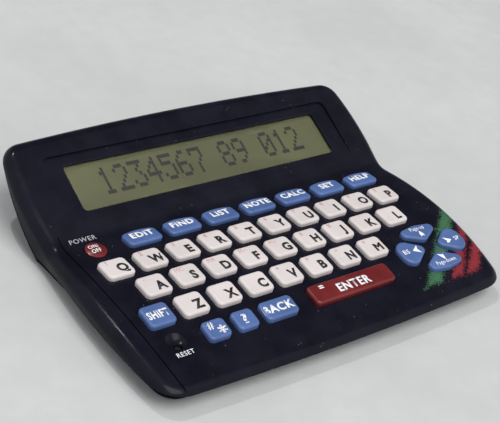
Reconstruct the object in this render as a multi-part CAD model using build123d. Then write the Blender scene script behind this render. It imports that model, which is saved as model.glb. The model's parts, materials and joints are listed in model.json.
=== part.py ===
"""Handheld electronic dictionary: a thin one-piece body with a crowned keyboard deck and a
display panel that tilts up at the rear.

Frame: X to the right, Y to the rear, Z up; the origin is the middle of the footprint, on the
surface that the rubber feet stand on. Millimetres throughout.
"""
from build123d import *
import math
import os

# ---------------------------------------------------------------- driving dimensions
# Outline seen from above
BODY_DEPTH = 88.4          # front edge to rear edge, on the centre line
FRONT_HALF_WIDTH = 59.6    # centre line to the side, at the front corners
BULGE_HALF_WIDTH = 61.8    # the same at the widest place of the keyboard part
WAIST_HALF_WIDTH = 59.5    # the same at the waist
SHOULDER_HALF_WIDTH = 60.4 # the same at the widest place beside the display
REAR_HALF_WIDTH = 58.0     # the same at the rear corners
BULGE_Y = -14.0            # where the keyboard part is widest
WAIST_Y = 13.8             # where the waist is
SHOULDER_Y = 25.5          # where the display part is widest
END_BOW = 1.5              # how far the front and rear edges bow out in the middle
FRONT_CORNER_R = 6.5
REAR_CORNER_R = 6.0
WAIST_BLEND_R = 30.0

# Base: the underside is smaller than the outline, and the walls flare out from it
BASE_FRONT_INSET = 3.0     # from the front edge of the body
BASE_SIDE_INSET = 2.8      # from the sides of the keyboard part
BASE_REVEAL = 0.25         # from the sides of the display part
NECK_Y = 1.0               # where the base starts to widen toward the display
NECK_INSET = 2.8
NECK_BLEND_R = 15.0
FLARE_RISE = 3.4           # height of the flared band, which leans out at 45 degrees

# Side profile
FOOT_RISE = 0.8            # clearance between the underside and the table
CROWN_RADIUS = 138.0       # the deck is a cylinder about an axis along X
CROWN_Y = -11.2            # its highest line
CROWN_HEIGHT = 9.8         # height of that line above the table
KINK_Y = 11.2              # where the deck meets the display panel
DISPLAY_TILT = 22.5        # degrees
KINK_BLEND_R = 8.0
UNDER_KINK_Y = 15.5        # where the underside starts to rise
UNDER_TILT = 30.5          # degrees
TOP_EDGE_R = 3.0
UNDER_EDGE_R = 0.6

# Casing
WALL = 1.6
PLATE = 1.5                # thickness of the bottom housing, and its visible edge
SEAM_REVEAL = 0.2          # the bottom housing is this much smaller all round
LIP_CLEARANCE = 0.1
LIP_THICKNESS = 1.0
LIP_HEIGHT = 1.0
HUMP_HALF_WIDTH = 50.0     # wedge under the display that stands on the table
HUMP_FRONT_Y = 14.0
HUMP_REAR_Y = 40.0
HUMP_WALL = 1.4
HUMP_CORNER_R = 4.0
GROOVE_WIDTH = 0.4
GROOVE_DEPTH = 0.4
GROOVE_INSETS = (3.6, 5.5, 5.5)   # from the left side: at the waist, the bulge, the front

# Display
WINDOW_WIDTH = 88.8
WINDOW_HEIGHT = 14.2       # measured up the slope
WINDOW_CENTRE = 16.0       # distance of its middle from the kink, up the slope
WINDOW_CORNER_R = 1.3
WINDOW_CHAMFER = 0.45
PANEL_MARGIN_SIDE = 5.7
PANEL_MARGIN_TOP = 3.0
PANEL_MARGIN_BOTTOM = 2.7
PANEL_CORNER_R = 2.2
PANEL_DEPTH_TOP = 0.7      # the panel is a shallow wedge-shaped recess
PANEL_DEPTH_BOTTOM = 0.15
PAD_DEPTH = 1.0            # panel face to the seat of the clear window
LENS_THICKNESS = 0.6
LCD_THICKNESS = 1.4
LCD_OVERLAP = 1.6          # how far the glass reaches past the window, on each side
FRAME_WALL = 1.0
FRAME_LIP = 0.5
FRAME_EAR = 4.0
EAR_THICKNESS = 1.0
STAKE_HEAD = 0.4           # how far the stakes stand out of the ears
STAKE_R = 0.8
STAKE_SPREAD = 5.0
DISPLAY_FIT = 0.1          # clearance round the glass and round the stakes

# Keyboard
KEY_PITCH = 10.5
ROW_PITCH = 9.2
ROW_ONE_Y = -1.8           # the Q row
ROW_LEFT_X = -48.7         # middle of the Q key
ROW_BOW = 0.43             # the rows bow back in the middle by this much
ROW_BOW_SPAN = 47.25
KEY_RISE = 1.3             # key tops stand this far above the deck
KEY_GAP = 0.2              # round each key in its hole
KEY_EDGE_R = 0.75
KEY_CORNER_R = 1.4
KEY_TRAVEL = 0.7
KEY_SKIN = 1.1             # wall of the hollow caps
POST_R = 1.5               # post inside a cap that presses the dome
FLANGE_OUT = 0.5           # flange beyond the cap
FLANGE_GAP = 0.15          # below the deck
LETTER_KEY = (8.0, 6.95)
HASH_KEY = (6.9, 5.8)
QUERY_KEY = (6.6, 5.8)
BACK_KEY = (10.7, 5.9)
ENTER_KEY = (29.0, 6.2)
HASH_X = -37.0
QUERY_X = -27.9
BACK_X = -16.7
ENTER_X = 9.1
MODE_PITCH = 13.17
MODE_FIRST_X = -34.5
MODE_KEY = (10.6, 5.9)
MODE_ARCH = 0.8            # rise of the rear edge of a mode key
POWER_KEY_R = 2.9
POWER_X = -48.7
POWER_DOME_R = 8.0
POWER_RISE = 0.95          # top of the round key above the deck
PIP_SPREAD = 5.0
PIP_R = 0.5
CURSOR_CENTRE = (43.3, -25.9)
# circles (x, y, radius) from the centre of the cluster, which its rear and its right key are
# drawn tightly round
CURSOR_REAR = ((-4.6, 6.3, 1.6), (4.6, 6.3, 1.6), (0.0, 5.5, 3.0), (0.0, 4.5, 1.8))
CURSOR_RIGHT = ((9.2, -0.9, 3.2), (9.2, 0.9, 3.2), (4.8, 0.0, 1.6))

# Reset
RESET_PLACE = (-48.6, -30.2)
RESET_DISH_R = 2.7
RESET_DISH_DEPTH = 1.0
RESET_DISH_BACK = 0.9      # the dish's middle lies this far behind the pin
RESET_PIN_R = 0.9
RESET_TRAVEL = 0.3
RESET_SINK = 0.3           # top of the button below the dish where the button's middle is

# Inside
STANDOFF = 0.3
BOARD_THICKNESS = 0.8
BOARD_HALF_WIDTH = 53.6
BOARD_FRONT_Y = -33.0
BOARD_REAR_Y = 10.0
WING_X = (27.0, 41.5)      # board strip that runs back beside the battery compartment
WING_REAR_Y = 34.0
SHEET_THICKNESS = 0.5
SHEET_MARGIN = 0.4         # the rubber sheet stays this far inside the board
DOME_HEIGHT = 0.4
DOME_R = 2.4
DOME_CLEARANCE = 0.05      # left under a post when its key is fully down
SWITCH_SIZE = (4.0, 3.2, 1.2)
CHIP_R = 3.6
CHIP_HEIGHT = 1.2
CHIP_PLACE = (34.4, 30.2)
RIBBON_WIDTH = 11.0
RIBBON_THICKNESS = 0.16
RIBBON_ON_GLASS = (3.4, 1.2)  # its two ends on the glass, above the window's lower edge
RIBBON_ON_BOARD = (0.9, 4.0)  # forward of the glass at the board, then its run along the board
RIBBON_BEND_R = 0.5

# Battery compartment
CELL_R = 10.0
CELL_THICKNESS = 3.2
CELL_SPREAD = 10.7         # centre line to the middle of a cell
CELL_Y = 28.2
CELL_CLEARANCE = 0.3
COVER_THICKNESS = 1.2
COVER_GAP = 0.2
TONGUE_OUT = 0.7
TONGUE_THICKNESS = 0.5
GRIP_COUNT = 5             # grooves across the cover, for a thumb
GRIP_PITCH = 1.6
GRIP_HALF_LENGTH = 6.0
GRIP_DEPTH = 0.4
GRIP_START = 4.0           # from the front edge of the cover
BAY_WALL = 0.9
CONTACT_THICKNESS = 0.3
CONTACT_WIDTH = 4.0
CONTACT_PASS = 2.5         # the bridge contact reaches this far past the bay walls

# Fasteners and feet
CASE_SCREWS = ((51.0, -35.8), (52.6, 12.2))
CASE_SCREW_R = 0.95
CASE_HEAD_R = 1.8
CASE_HEAD_HEIGHT = 0.9
CASE_BOSS_R = 2.2
CASE_PAD_HEIGHT = 0.9      # pad inside the bottom housing round each case screw
SCREW_FIT = 0.05
BOARD_SCREWS = ((-52.3, -11.2), (52.3, -11.0), (-43.2, -26.4), (28.5, -31.0), (38.5, 14.5))
BOARD_SCREW_R = 0.8
BOARD_HEAD_R = 1.4
BOARD_HEAD_HEIGHT = 0.7
BOARD_SCREW_DEPTH = 1.0
FOOT_R = 4.0
FOOT_SEAT = 0.5
FOOT_FIT = 0.1
FRONT_FEET = (43.5, -34.5)
REAR_FEET = (37.0, 33.5)

# ---------------------------------------------------------------- worked out from the above
RESET_BALL_R = (RESET_DISH_R ** 2 + RESET_DISH_DEPTH ** 2) / (2 * RESET_DISH_DEPTH)
FRONT_Y = -BODY_DEPTH / 2
REAR_Y = BODY_DEPTH / 2
PLATE_TOP = FOOT_RISE + PLATE
BOARD_BOTTOM = PLATE_TOP + STANDOFF
BOARD_TOP = BOARD_BOTTOM + BOARD_THICKNESS
SHEET_TOP = BOARD_TOP + SHEET_THICKNESS
KEY_BOTTOM = SHEET_TOP + DOME_HEIGHT + KEY_TRAVEL + DOME_CLEARANCE
ROW_TWO_Y = ROW_ONE_Y - ROW_PITCH
ROW_THREE_Y = ROW_ONE_Y - 2 * ROW_PITCH
ROW_FOUR_Y = ROW_ONE_Y - 3 * ROW_PITCH
MODE_Y = ROW_ONE_Y + ROW_PITCH
TALL = 60.0                # longer than anything that is cut
TILT = math.radians(DISPLAY_TILT)
SIN_TILT, COS_TILT, TAN_TILT = math.sin(TILT), math.cos(TILT), math.tan(TILT)
TAN_UNDER = math.tan(math.radians(UNDER_TILT))
CROWN_AXIS_Z = CROWN_HEIGHT - CROWN_RADIUS
PANEL_WIDTH = WINDOW_WIDTH + 2 * PANEL_MARGIN_SIDE
PANEL_HEIGHT = WINDOW_HEIGHT + PANEL_MARGIN_TOP + PANEL_MARGIN_BOTTOM
PANEL_LOW = WINDOW_CENTRE - WINDOW_HEIGHT / 2 - PANEL_MARGIN_BOTTOM
PANEL_WEDGE = math.degrees(math.atan((PANEL_DEPTH_TOP - PANEL_DEPTH_BOTTOM) / PANEL_HEIGHT))
LCD_WIDTH = WINDOW_WIDTH + 2 * LCD_OVERLAP
LCD_HEIGHT = WINDOW_HEIGHT + 2 * LCD_OVERLAP
FRAME_WIDTH = LCD_WIDTH + 2 * (DISPLAY_FIT + FRAME_WALL)
FRAME_HEIGHT = LCD_HEIGHT + 2 * (DISPLAY_FIT + FRAME_WALL)
FRAME_DEPTH = PAD_DEPTH + LENS_THICKNESS + LCD_THICKNESS + FRAME_LIP
EAR_X = FRAME_WIDTH / 2 + FRAME_EAR / 2
BAY_HALF_WIDTH = CELL_SPREAD + CELL_R + 0.5
BAY_FRONT_Y = CELL_Y - CELL_R - 0.4
COVER_HALF_WIDTH = BAY_HALF_WIDTH - COVER_GAP
BAY_OUTER = BAY_HALF_WIDTH + TONGUE_OUT + COVER_GAP
COVER_TOP = FOOT_RISE + COVER_THICKNESS
CELL_BOTTOM = COVER_TOP + CELL_CLEARANCE
CELL_TOP = CELL_BOTTOM + CELL_THICKNESS


def crown_z(y: float, drop: float = 0.0) -> float:
    """Height of the crowned deck at y, or of a surface that lies drop below it."""
    return CROWN_AXIS_Z + math.sqrt((CROWN_RADIUS - drop) ** 2 - (y - CROWN_Y) ** 2)


KINK_Z = crown_z(KINK_Y)
slope_plane = Plane(origin=(0, KINK_Y, KINK_Z), x_dir=(1, 0, 0), z_dir=(0, -SIN_TILT, COS_TILT))
panel_plane = slope_plane * Pos(0, PANEL_LOW, -PANEL_DEPTH_BOTTOM) * Rot(-PANEL_WEDGE, 0, 0)
WINDOW_MIDDLE = WINDOW_CENTRE - PANEL_LOW     # the same middle, measured on the panel's face


def under_z(y: float, lift: float = 0.0) -> float:
    """Height of the underside at y, or of a surface that lies lift above it."""
    return FOOT_RISE + lift + max(0.0, y - UNDER_KINK_Y) * TAN_UNDER


# ---------------------------------------------------------------- shared shapes
def mirrored_plan(side_edges: list, front: tuple, rear: tuple, bow: float, blends: list) -> Face:
    """Closed plan from the edges of its right side, with bowed ends and rounded corners.

    Each entry of blends is the y of a pair of corners and their radius.
    """
    edges = side_edges + [edge.mirror(Plane.YZ) for edge in side_edges]
    for (x, y), tip in ((front, front[1] - bow), (rear, rear[1] + bow)):
        edges.append(ThreePointArc((-x, y), (0, tip), (x, y)))
    face = make_face(Curve(edges)).face()
    for y, radius in blends:
        corners = face.vertices().filter_by(lambda v: abs(v.Y - y) < 0.01)
        face = face.fillet_2d(radius, corners)
    return face


def rear_side(inset: float) -> tuple:
    """Right edge beside the display, from the waist to the rear corner."""
    waist = (WAIST_HALF_WIDTH - inset, WAIST_Y)
    shoulder = (SHOULDER_HALF_WIDTH - inset, SHOULDER_Y)
    rear = (REAR_HALF_WIDTH - inset, REAR_Y - END_BOW - inset)
    return waist, ThreePointArc(waist, shoulder, rear), rear


def outline(inset: float = 0.0) -> Face:
    """Plan of the body, with its waist, drawn inset from the real edge."""
    front = (FRONT_HALF_WIDTH - inset, FRONT_Y + END_BOW + inset)
    bulge = (BULGE_HALF_WIDTH - inset, BULGE_Y)
    waist, rear_arc, rear = rear_side(inset)
    blends = [(front[1], FRONT_CORNER_R - inset), (WAIST_Y, WAIST_BLEND_R + inset),
              (rear[1], REAR_CORNER_R - inset)]
    return mirrored_plan([ThreePointArc(front, bulge, waist), rear_arc], front, rear, END_BOW, blends)


def base_outline(inset: float = 0.0) -> Face:
    """Plan of the base, which is narrower than the body along the keyboard."""
    side = BASE_SIDE_INSET + inset
    front = (FRONT_HALF_WIDTH - side, FRONT_Y + END_BOW + BASE_FRONT_INSET + inset)
    bulge = (BULGE_HALF_WIDTH - side, BULGE_Y)
    across = (NECK_Y - BULGE_Y) / (WAIST_Y - BULGE_Y)
    neck_half = BULGE_HALF_WIDTH + (WAIST_HALF_WIDTH - BULGE_HALF_WIDTH) * across ** 2
    neck = (neck_half - NECK_INSET - inset, NECK_Y)
    waist, rear_arc, rear = rear_side(BASE_REVEAL + inset)
    edges = [ThreePointArc(front, bulge, neck), Line(neck, waist), rear_arc]
    blends = [(front[1], FRONT_CORNER_R - inset - BASE_REVEAL), (NECK_Y, NECK_BLEND_R - inset),
              (WAIST_Y, WAIST_BLEND_R + inset), (rear[1], REAR_CORNER_R - inset - BASE_REVEAL)]
    return mirrored_plan(edges, front, rear, END_BOW, blends)


def envelope() -> Part:
    """Outside of the whole casing above the table, with its rounded top edge."""
    solid = block(outline(), 0, TALL) & below_top()
    top_faces = [face for face in solid.faces() if face.normal_at(face.center()).Z > 0.7]
    seen = {}
    for face in top_faces:
        for edge in face.outer_wire().edges():
            middle = edge.center()
            place = (round(middle.X, 3), round(middle.Y, 3), round(middle.Z, 3))
            seen.setdefault(place, []).append(edge)
    rim = [edges[0] for edges in seen.values() if len(edges) == 1]
    return fillet(rim, TOP_EDGE_R)


def flared() -> Part:
    """Everything inside the walls that lean out from the base."""
    top = PLATE_TOP + FLARE_RISE
    wires = [Pos(0, 0, PLATE_TOP) * base_outline().outer_wire(),
             Pos(0, 0, top) * base_outline(-FLARE_RISE).outer_wire()]
    faces = [make_face(wire.edges()) for wire in wires]
    return loft(faces, ruled=True) + block(base_outline(-FLARE_RISE), top, TALL)


def block(face: Face, low: float, high: float) -> Part:
    """Upright prism on a plan face, from one height to another."""
    return extrude(Pos(0, 0, low) * face, amount=high - low)


def below_top(drop: float = 0.0) -> Part:
    """Everything under the deck and display surface, lowered by drop."""
    radius = CROWN_RADIUS - drop
    # the slope line lowered along its normal meets the lowered crown at the kink
    base = Vector(KINK_Y + drop * SIN_TILT, KINK_Z - drop * COS_TILT)
    along = Vector(COS_TILT, SIN_TILT)
    centre = Vector(CROWN_Y, CROWN_AXIS_Z)
    toward = base - centre
    b = toward.dot(along)
    step = -b + math.sqrt(b * b - toward.dot(toward) + radius * radius)
    kink = base + along * step
    blend = KINK_BLEND_R + drop
    start_y = FRONT_Y - 5
    start = (start_y, crown_z(start_y, drop))
    middle_y = (start_y + kink.X) / 2
    middle = (middle_y, crown_z(middle_y, drop))
    end = kink + along * TALL
    edges = [
        ThreePointArc(start, middle, (kink.X, kink.Y)),
        Line((kink.X, kink.Y), (end.X, end.Y)),
        Line((end.X, end.Y), (end.X, -TALL)),
        Line((end.X, -TALL), (start_y, -TALL)),
        Line((start_y, -TALL), start),
    ]
    face = make_face(Curve(edges))
    corner = face.vertices().sort_by_distance((kink.X, kink.Y, 0))[0]
    face = fillet(corner, blend)
    return extrude(Plane.YZ * face, amount=TALL * 1.5, both=True)


def above_under(lift: float = 0.0) -> Part:
    """Everything over the underside, raised by lift."""
    front, rear = FRONT_Y - 5, REAR_Y + 5
    points = [(front, TALL), (front, under_z(front, lift)), (UNDER_KINK_Y, FOOT_RISE + lift),
              (rear, under_z(rear, lift)), (rear, TALL)]
    return extrude(Plane.YZ * make_face(Polyline(points, close=True)), amount=TALL * 1.5, both=True)


def disc(radius: float) -> Face:
    """Plan circle about the origin."""
    return Circle(radius).face()


def grown(face: Face, amount: float) -> Face:
    """Plan face moved outward by amount, or inward if it is negative."""
    return offset(face, amount=amount).face()


def rounded(width: float, height: float, radius: float) -> Face:
    """Rounded rectangle about the origin."""
    return RectangleRounded(width, height, radius).face()


def on_panel(x: float, up: float, depth: float) -> Location:
    """Place on the display panel: across, up the panel from its lower edge, and below its face."""
    return Location(panel_plane) * Pos(x, up, -depth)


def row_y(y: float, x: float) -> float:
    """Place of a key in its bowed row."""
    return y - ROW_BOW * (x / ROW_BOW_SPAN) ** 2


# ---------------------------------------------------------------- key plans
def key_plans() -> dict:
    """Plan face, at its place, of every key in the deck."""
    plans = {}

    def put(name: str, face: Face, x: float, y: float) -> None:
        plans[name] = Pos(x, row_y(y, x), 0) * face

    letter = rounded(*LETTER_KEY, KEY_CORNER_R)
    # the third row starts with shift, so its letters stand one pitch further right
    rows = (("qwertyuiop", ROW_LEFT_X, ROW_ONE_Y),
            ("asdfghjkl", ROW_LEFT_X + KEY_PITCH / 2, ROW_TWO_Y),
            ("zxcvbnm", ROW_LEFT_X + KEY_PITCH, ROW_THREE_Y))
    for letters, first, y in rows:
        for column, name in enumerate(letters):
            put("key_" + name, letter, first + column * KEY_PITCH, y)
    put("key_shift", letter, ROW_LEFT_X, ROW_THREE_Y)
    bottom = (("key_hash", HASH_KEY, HASH_X), ("key_query", QUERY_KEY, QUERY_X),
              ("key_back", BACK_KEY, BACK_X), ("key_enter", ENTER_KEY, ENTER_X))
    for name, size, x in bottom:
        put(name, rounded(*size, KEY_CORNER_R), x, ROW_FOUR_Y)
    mode = mode_plan()
    for number in range(7):
        put(f"key_mode_{number + 1}", mode, MODE_FIRST_X + number * MODE_PITCH, MODE_Y)
    plans["key_on_off"] = Pos(POWER_X, row_y(MODE_Y, POWER_X), 0) * disc(POWER_KEY_R)
    plans.update(cursor_plans())
    return plans


def mode_plan() -> Face:
    """Mode key: straight front and sides, arched rear edge."""
    x, y = MODE_KEY[0] / 2, MODE_KEY[1] / 2
    shoulder = y - MODE_ARCH
    edges = [Line((-x, -y), (x, -y)), Line((x, -y), (x, shoulder)),
             ThreePointArc((x, shoulder), (0, y), (-x, shoulder)), Line((-x, shoulder), (-x, -y))]
    face = make_face(Curve(edges))
    return fillet(face.vertices(), KEY_CORNER_R)


def petal(circles: tuple) -> Face:
    """Plan face drawn tightly round some circles."""
    rims = [Pos(x, y, 0) * Circle(radius).edge() for x, y, radius in circles]
    return make_hull(rims).face()


def cursor_plans() -> dict:
    """Four rounded triangles that point at the middle of an oval cluster."""
    turned = {"key_up": [(x, y, r) for x, y, r in CURSOR_REAR],
              "key_down": [(x, -y, r) for x, y, r in CURSOR_REAR],
              "key_right": [(x, y, r) for x, y, r in CURSOR_RIGHT],
              "key_left": [(-x, y, r) for x, y, r in CURSOR_RIGHT]}
    return {name: Pos(*CURSOR_CENTRE, 0) * petal(circles) for name, circles in turned.items()}


# ---------------------------------------------------------------- keys
def crown_body(rise: float) -> Part:
    """Everything under the crowned deck, raised by rise."""
    cylinder = Cylinder(CROWN_RADIUS + rise, TALL * 3, rotation=(0, 90, 0))
    return Pos(0, CROWN_Y, CROWN_AXIS_Z) * cylinder


def key_solid(plan: Face, dome_places: list) -> Part:
    """Hollow cap with a flange under the deck and a post over each rubber dome."""
    box = plan.bounding_box()
    farthest = max((box.min.Y, box.max.Y), key=lambda y: abs(y - CROWN_Y))
    flange_top = crown_z(farthest, WALL) - FLANGE_GAP
    cap_high = CROWN_HEIGHT + KEY_RISE + 1
    cap = block(plan, KEY_BOTTOM, cap_high) & crown_body(KEY_RISE)
    top = cap.faces().sort_by(Axis.Z)[-1]
    cap = fillet(top.edges(), KEY_EDGE_R)
    flange = block(grown(plan, FLANGE_OUT), KEY_BOTTOM, flange_top)
    hollow_top = crown_z(farthest) + KEY_RISE - KEY_SKIN - KEY_EDGE_R
    hollow = block(grown(plan, -KEY_SKIN), KEY_BOTTOM - 1, hollow_top)
    key = cap + flange - hollow
    for x, y in dome_places:
        key += Pos(x, y, 0) * block(disc(POST_R), KEY_BOTTOM, hollow_top + 0.1)
    return key


def power_key(plan: Face) -> Part:
    """Solid round key with a domed top, and the same flange as the others."""
    x, y = plan.center().X, plan.center().Y
    top = crown_z(y) + POWER_RISE
    cap = block(plan, KEY_BOTTOM, top)
    cap &= Pos(x, y, top - POWER_DOME_R) * Sphere(POWER_DOME_R)
    flange_top = crown_z(y + POWER_KEY_R + FLANGE_OUT, WALL) - FLANGE_GAP
    return cap + block(grown(plan, FLANGE_OUT), KEY_BOTTOM, flange_top)


def dome_map(plans: dict) -> dict:
    """Places of the rubber domes under each key: two under the wide key, else one.

    A dome stays on its sheet where a key reaches past it.
    """
    places = {}
    nearest = BOARD_FRONT_Y + SHEET_MARGIN + DOME_R
    for name, plan in plans.items():
        middle = plan.center()
        reach = ENTER_KEY[0] / 4
        spread = (-reach, reach) if name == "key_enter" else (0.0,)
        places[name] = [(middle.X + step, max(middle.Y, nearest)) for step in spread]
    return places


def reset_ball_z() -> float:
    """Height of the middle of the ball that shapes the reset dish."""
    return crown_z(RESET_PLACE[1] + RESET_DISH_BACK) - RESET_DISH_DEPTH + RESET_BALL_R


def reset_button() -> Part:
    """Small pin in the dish, with a flange that keeps it in."""
    x, y = RESET_PLACE
    dish_z = reset_ball_z() - math.sqrt(RESET_BALL_R ** 2 - RESET_DISH_BACK ** 2)
    bottom = BOARD_TOP + SWITCH_SIZE[2] + RESET_TRAVEL + DOME_CLEARANCE
    flange_top = crown_z(y - 2 * RESET_PIN_R, WALL) - FLANGE_GAP
    pin = Pos(x, y, 0) * block(disc(RESET_PIN_R), bottom, dish_z - RESET_SINK)
    pin = fillet(pin.faces().sort_by(Axis.Z)[-1].edges(), 0.2)
    return pin + Pos(x, y, 0) * block(disc(2 * RESET_PIN_R), bottom, flange_top)


# ---------------------------------------------------------------- casing
def top_housing(plans: dict) -> Part:
    """Upper half: deck, display panel, side walls, screw bosses and heat stakes."""
    shell = envelope() & above_under(PLATE) & flared()
    cavity = block(base_outline(WALL), 0, TALL) & below_top(WALL)
    pad = Location(panel_plane) * Pos(0, WINDOW_MIDDLE, -PAD_DEPTH) * extrude(
        rounded(2 * EAR_X + FRAME_EAR, FRAME_HEIGHT, WINDOW_CORNER_R), amount=PAD_DEPTH + WALL)
    shell = shell - cavity + (pad & cavity)
    shell -= on_panel(0, WINDOW_MIDDLE, PAD_DEPTH + WALL) * extrude(
        rounded(2 * EAR_X + FRAME_EAR, FRAME_HEIGHT + 2 * DISPLAY_FIT, WINDOW_CORNER_R), amount=WALL)
    shell -= panel_cut()
    shell += stakes()
    shell += case_bosses() & block(base_outline(WALL / 2), 0, TALL) & below_top(WALL / 2)
    shell -= screw_bores()
    holes = [block(grown(plan, KEY_GAP), KEY_BOTTOM - 1, TALL) for plan in plans.values()]
    shell -= holes
    shell -= reset_cut()
    shell -= groove_cut()
    return shell + pips()


def panel_cut() -> Part:
    """Wedge-shaped recess of the display panel, with the chamfered window through it."""
    place = Location(panel_plane)
    middle = Pos(0, PANEL_HEIGHT / 2, 0)
    recess = place * middle * extrude(rounded(PANEL_WIDTH, PANEL_HEIGHT, PANEL_CORNER_R), amount=WALL)
    window = place * Pos(0, WINDOW_MIDDLE, -PAD_DEPTH - 1) * extrude(
        rounded(WINDOW_WIDTH, WINDOW_HEIGHT, WINDOW_CORNER_R), amount=PAD_DEPTH + 2)
    chamfer = place * Pos(0, WINDOW_MIDDLE, -WINDOW_CHAMFER) * extrude(
        rounded(WINDOW_WIDTH, WINDOW_HEIGHT, WINDOW_CORNER_R), amount=2 * WINDOW_CHAMFER, taper=-45)
    return recess + window + chamfer


def stakes() -> Part:
    """Four pins under the pad that hold the display frame by its ears."""
    pins = Part()
    for x in (-EAR_X, EAR_X):
        for step in (-STAKE_SPREAD, STAKE_SPREAD):
            pins += on_panel(x, WINDOW_MIDDLE + step, PAD_DEPTH + EAR_THICKNESS + STAKE_HEAD) * extrude(
                disc(STAKE_R), amount=EAR_THICKNESS + STAKE_HEAD + 0.1)
    return pins


def case_places() -> list:
    """Places of the case screws, mirrored about the centre line."""
    return [(side * x, y) for x, y in CASE_SCREWS for side in (-1, 1)]


def case_bosses() -> Part:
    """Bosses hanging from the deck, which the case screws bite into."""
    bottom = PLATE_TOP + CASE_PAD_HEIGHT + SCREW_FIT
    return Part() + [Pos(x, y, 0) * block(disc(CASE_BOSS_R), bottom, TALL)
                     for x, y in case_places()]


def screw_top(y: float) -> float:
    """Height that a case screw reaches, inside the deck's wall."""
    return crown_z(y, WALL) - 0.5


def screw_bores() -> list:
    """Blind holes for the case screws."""
    return [Pos(x, y, 0) * block(disc(CASE_SCREW_R + SCREW_FIT), 0, screw_top(y) + 0.3)
            for x, y in case_places()]


def reset_cut() -> Part:
    """Dish and hole of the reset button."""
    x, y = RESET_PLACE
    ball = Pos(x, y + RESET_DISH_BACK, reset_ball_z()) * Sphere(RESET_BALL_R)
    hole = Pos(x, y, 0) * block(disc(RESET_PIN_R + KEY_GAP), KEY_BOTTOM - 1, TALL)
    return ball + hole


def groove_cut() -> Part:
    """Fine groove along the left side of the deck."""
    at_waist, at_bulge, at_front = GROOVE_INSETS
    start = (-WAIST_HALF_WIDTH + at_waist, WAIST_Y + GROOVE_DEPTH)
    middle = (-BULGE_HALF_WIDTH + at_bulge, BULGE_Y / 2)
    end = (-FRONT_HALF_WIDTH + at_front, FRONT_Y)
    path = ThreePointArc(start, middle, end)
    inner = [(x + GROOVE_WIDTH, y) for x, y in (start, middle, end)]
    edges = [path, ThreePointArc(*inner), Line(start, inner[0]), Line(end, inner[2])]
    band = make_face(Curve(edges))
    return block(band, 0, TALL) - below_top(GROOVE_DEPTH)


def pips() -> Part:
    """Two guide pips beside the round key."""
    y = row_y(MODE_Y, POWER_X)
    balls = [Pos(POWER_X + side * PIP_SPREAD, y, crown_z(y) - PIP_R / 4) * Sphere(PIP_R)
             for side in (-1, 1)]
    return Part() + balls


def hump_plan(inset: float = 0.0) -> Face:
    """Plan of the wedge under the display."""
    depth = HUMP_REAR_Y - HUMP_FRONT_Y - 2 * inset
    face = rounded(2 * (HUMP_HALF_WIDTH - inset), depth, HUMP_CORNER_R - inset)
    return Pos(0, (HUMP_REAR_Y + HUMP_FRONT_Y) / 2, 0) * face


def rect(x0: float, x1: float, y0: float, y1: float) -> Face:
    """Plan rectangle between two corners."""
    return Pos((x0 + x1) / 2, (y0 + y1) / 2, 0) * Rectangle(x1 - x0, y1 - y0).face()


def bottom_housing() -> Part:
    """Lower half: thin plate, wedge with the battery bay, lip, standoffs and seats."""
    raised = above_under(PLATE)
    body = (block(base_outline(SEAM_REVEAL), 0, TALL) & above_under() & envelope()) - raised
    hump = block(hump_plan(), FOOT_RISE, TALL) - raised
    body += hump
    body = fillet(body.faces().filter_by(lambda f: f.normal_at(f.center()).Z < -0.999)
                  .sort_by(SortBy.AREA)[-1].outer_wire().edges(), UNDER_EDGE_R)
    body -= block(hump_plan(HUMP_WALL), PLATE_TOP, TALL)
    ring_out = WALL + LIP_CLEARANCE
    inside = block(base_outline(ring_out), 0, TALL)
    ring = inside - block(base_outline(ring_out + LIP_THICKNESS), -1, TALL)
    ring = (ring & above_under(PLATE / 2)) - above_under(PLATE + LIP_HEIGHT)
    ring -= [Pos(x, y, 0) * block(disc(CASE_BOSS_R + LIP_CLEARANCE), PLATE_TOP, TALL)
             for x, y in case_places()]
    body += ring
    pads = Part() + [Pos(x, y, 0) * block(disc(CASE_BOSS_R), PLATE_TOP - 0.1, PLATE_TOP + CASE_PAD_HEIGHT)
                     for x, y in case_places()]
    body += pads & inside
    standoff = disc(BOARD_SCREW_R + 1.2)
    body += [Pos(x, y, 0) * block(standoff, PLATE_TOP - 0.1, BOARD_BOTTOM) for x, y in BOARD_SCREWS]
    body += bay_walls()
    return body - bottom_cuts()


def bay_walls() -> Part:
    """Low walls round the battery bay, kept clear of the display frame."""
    outer = rect(-BAY_OUTER - BAY_WALL, BAY_OUTER + BAY_WALL, BAY_FRONT_Y - BAY_WALL, HUMP_REAR_Y - 0.5)
    inner = rect(-BAY_OUTER, BAY_OUTER, BAY_FRONT_Y, HUMP_REAR_Y)
    walls = block(outer, PLATE_TOP - 0.1, CELL_TOP) - block(inner, 0, TALL)
    return walls & below_top(FRAME_DEPTH + PANEL_DEPTH_TOP + 0.3)


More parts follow.
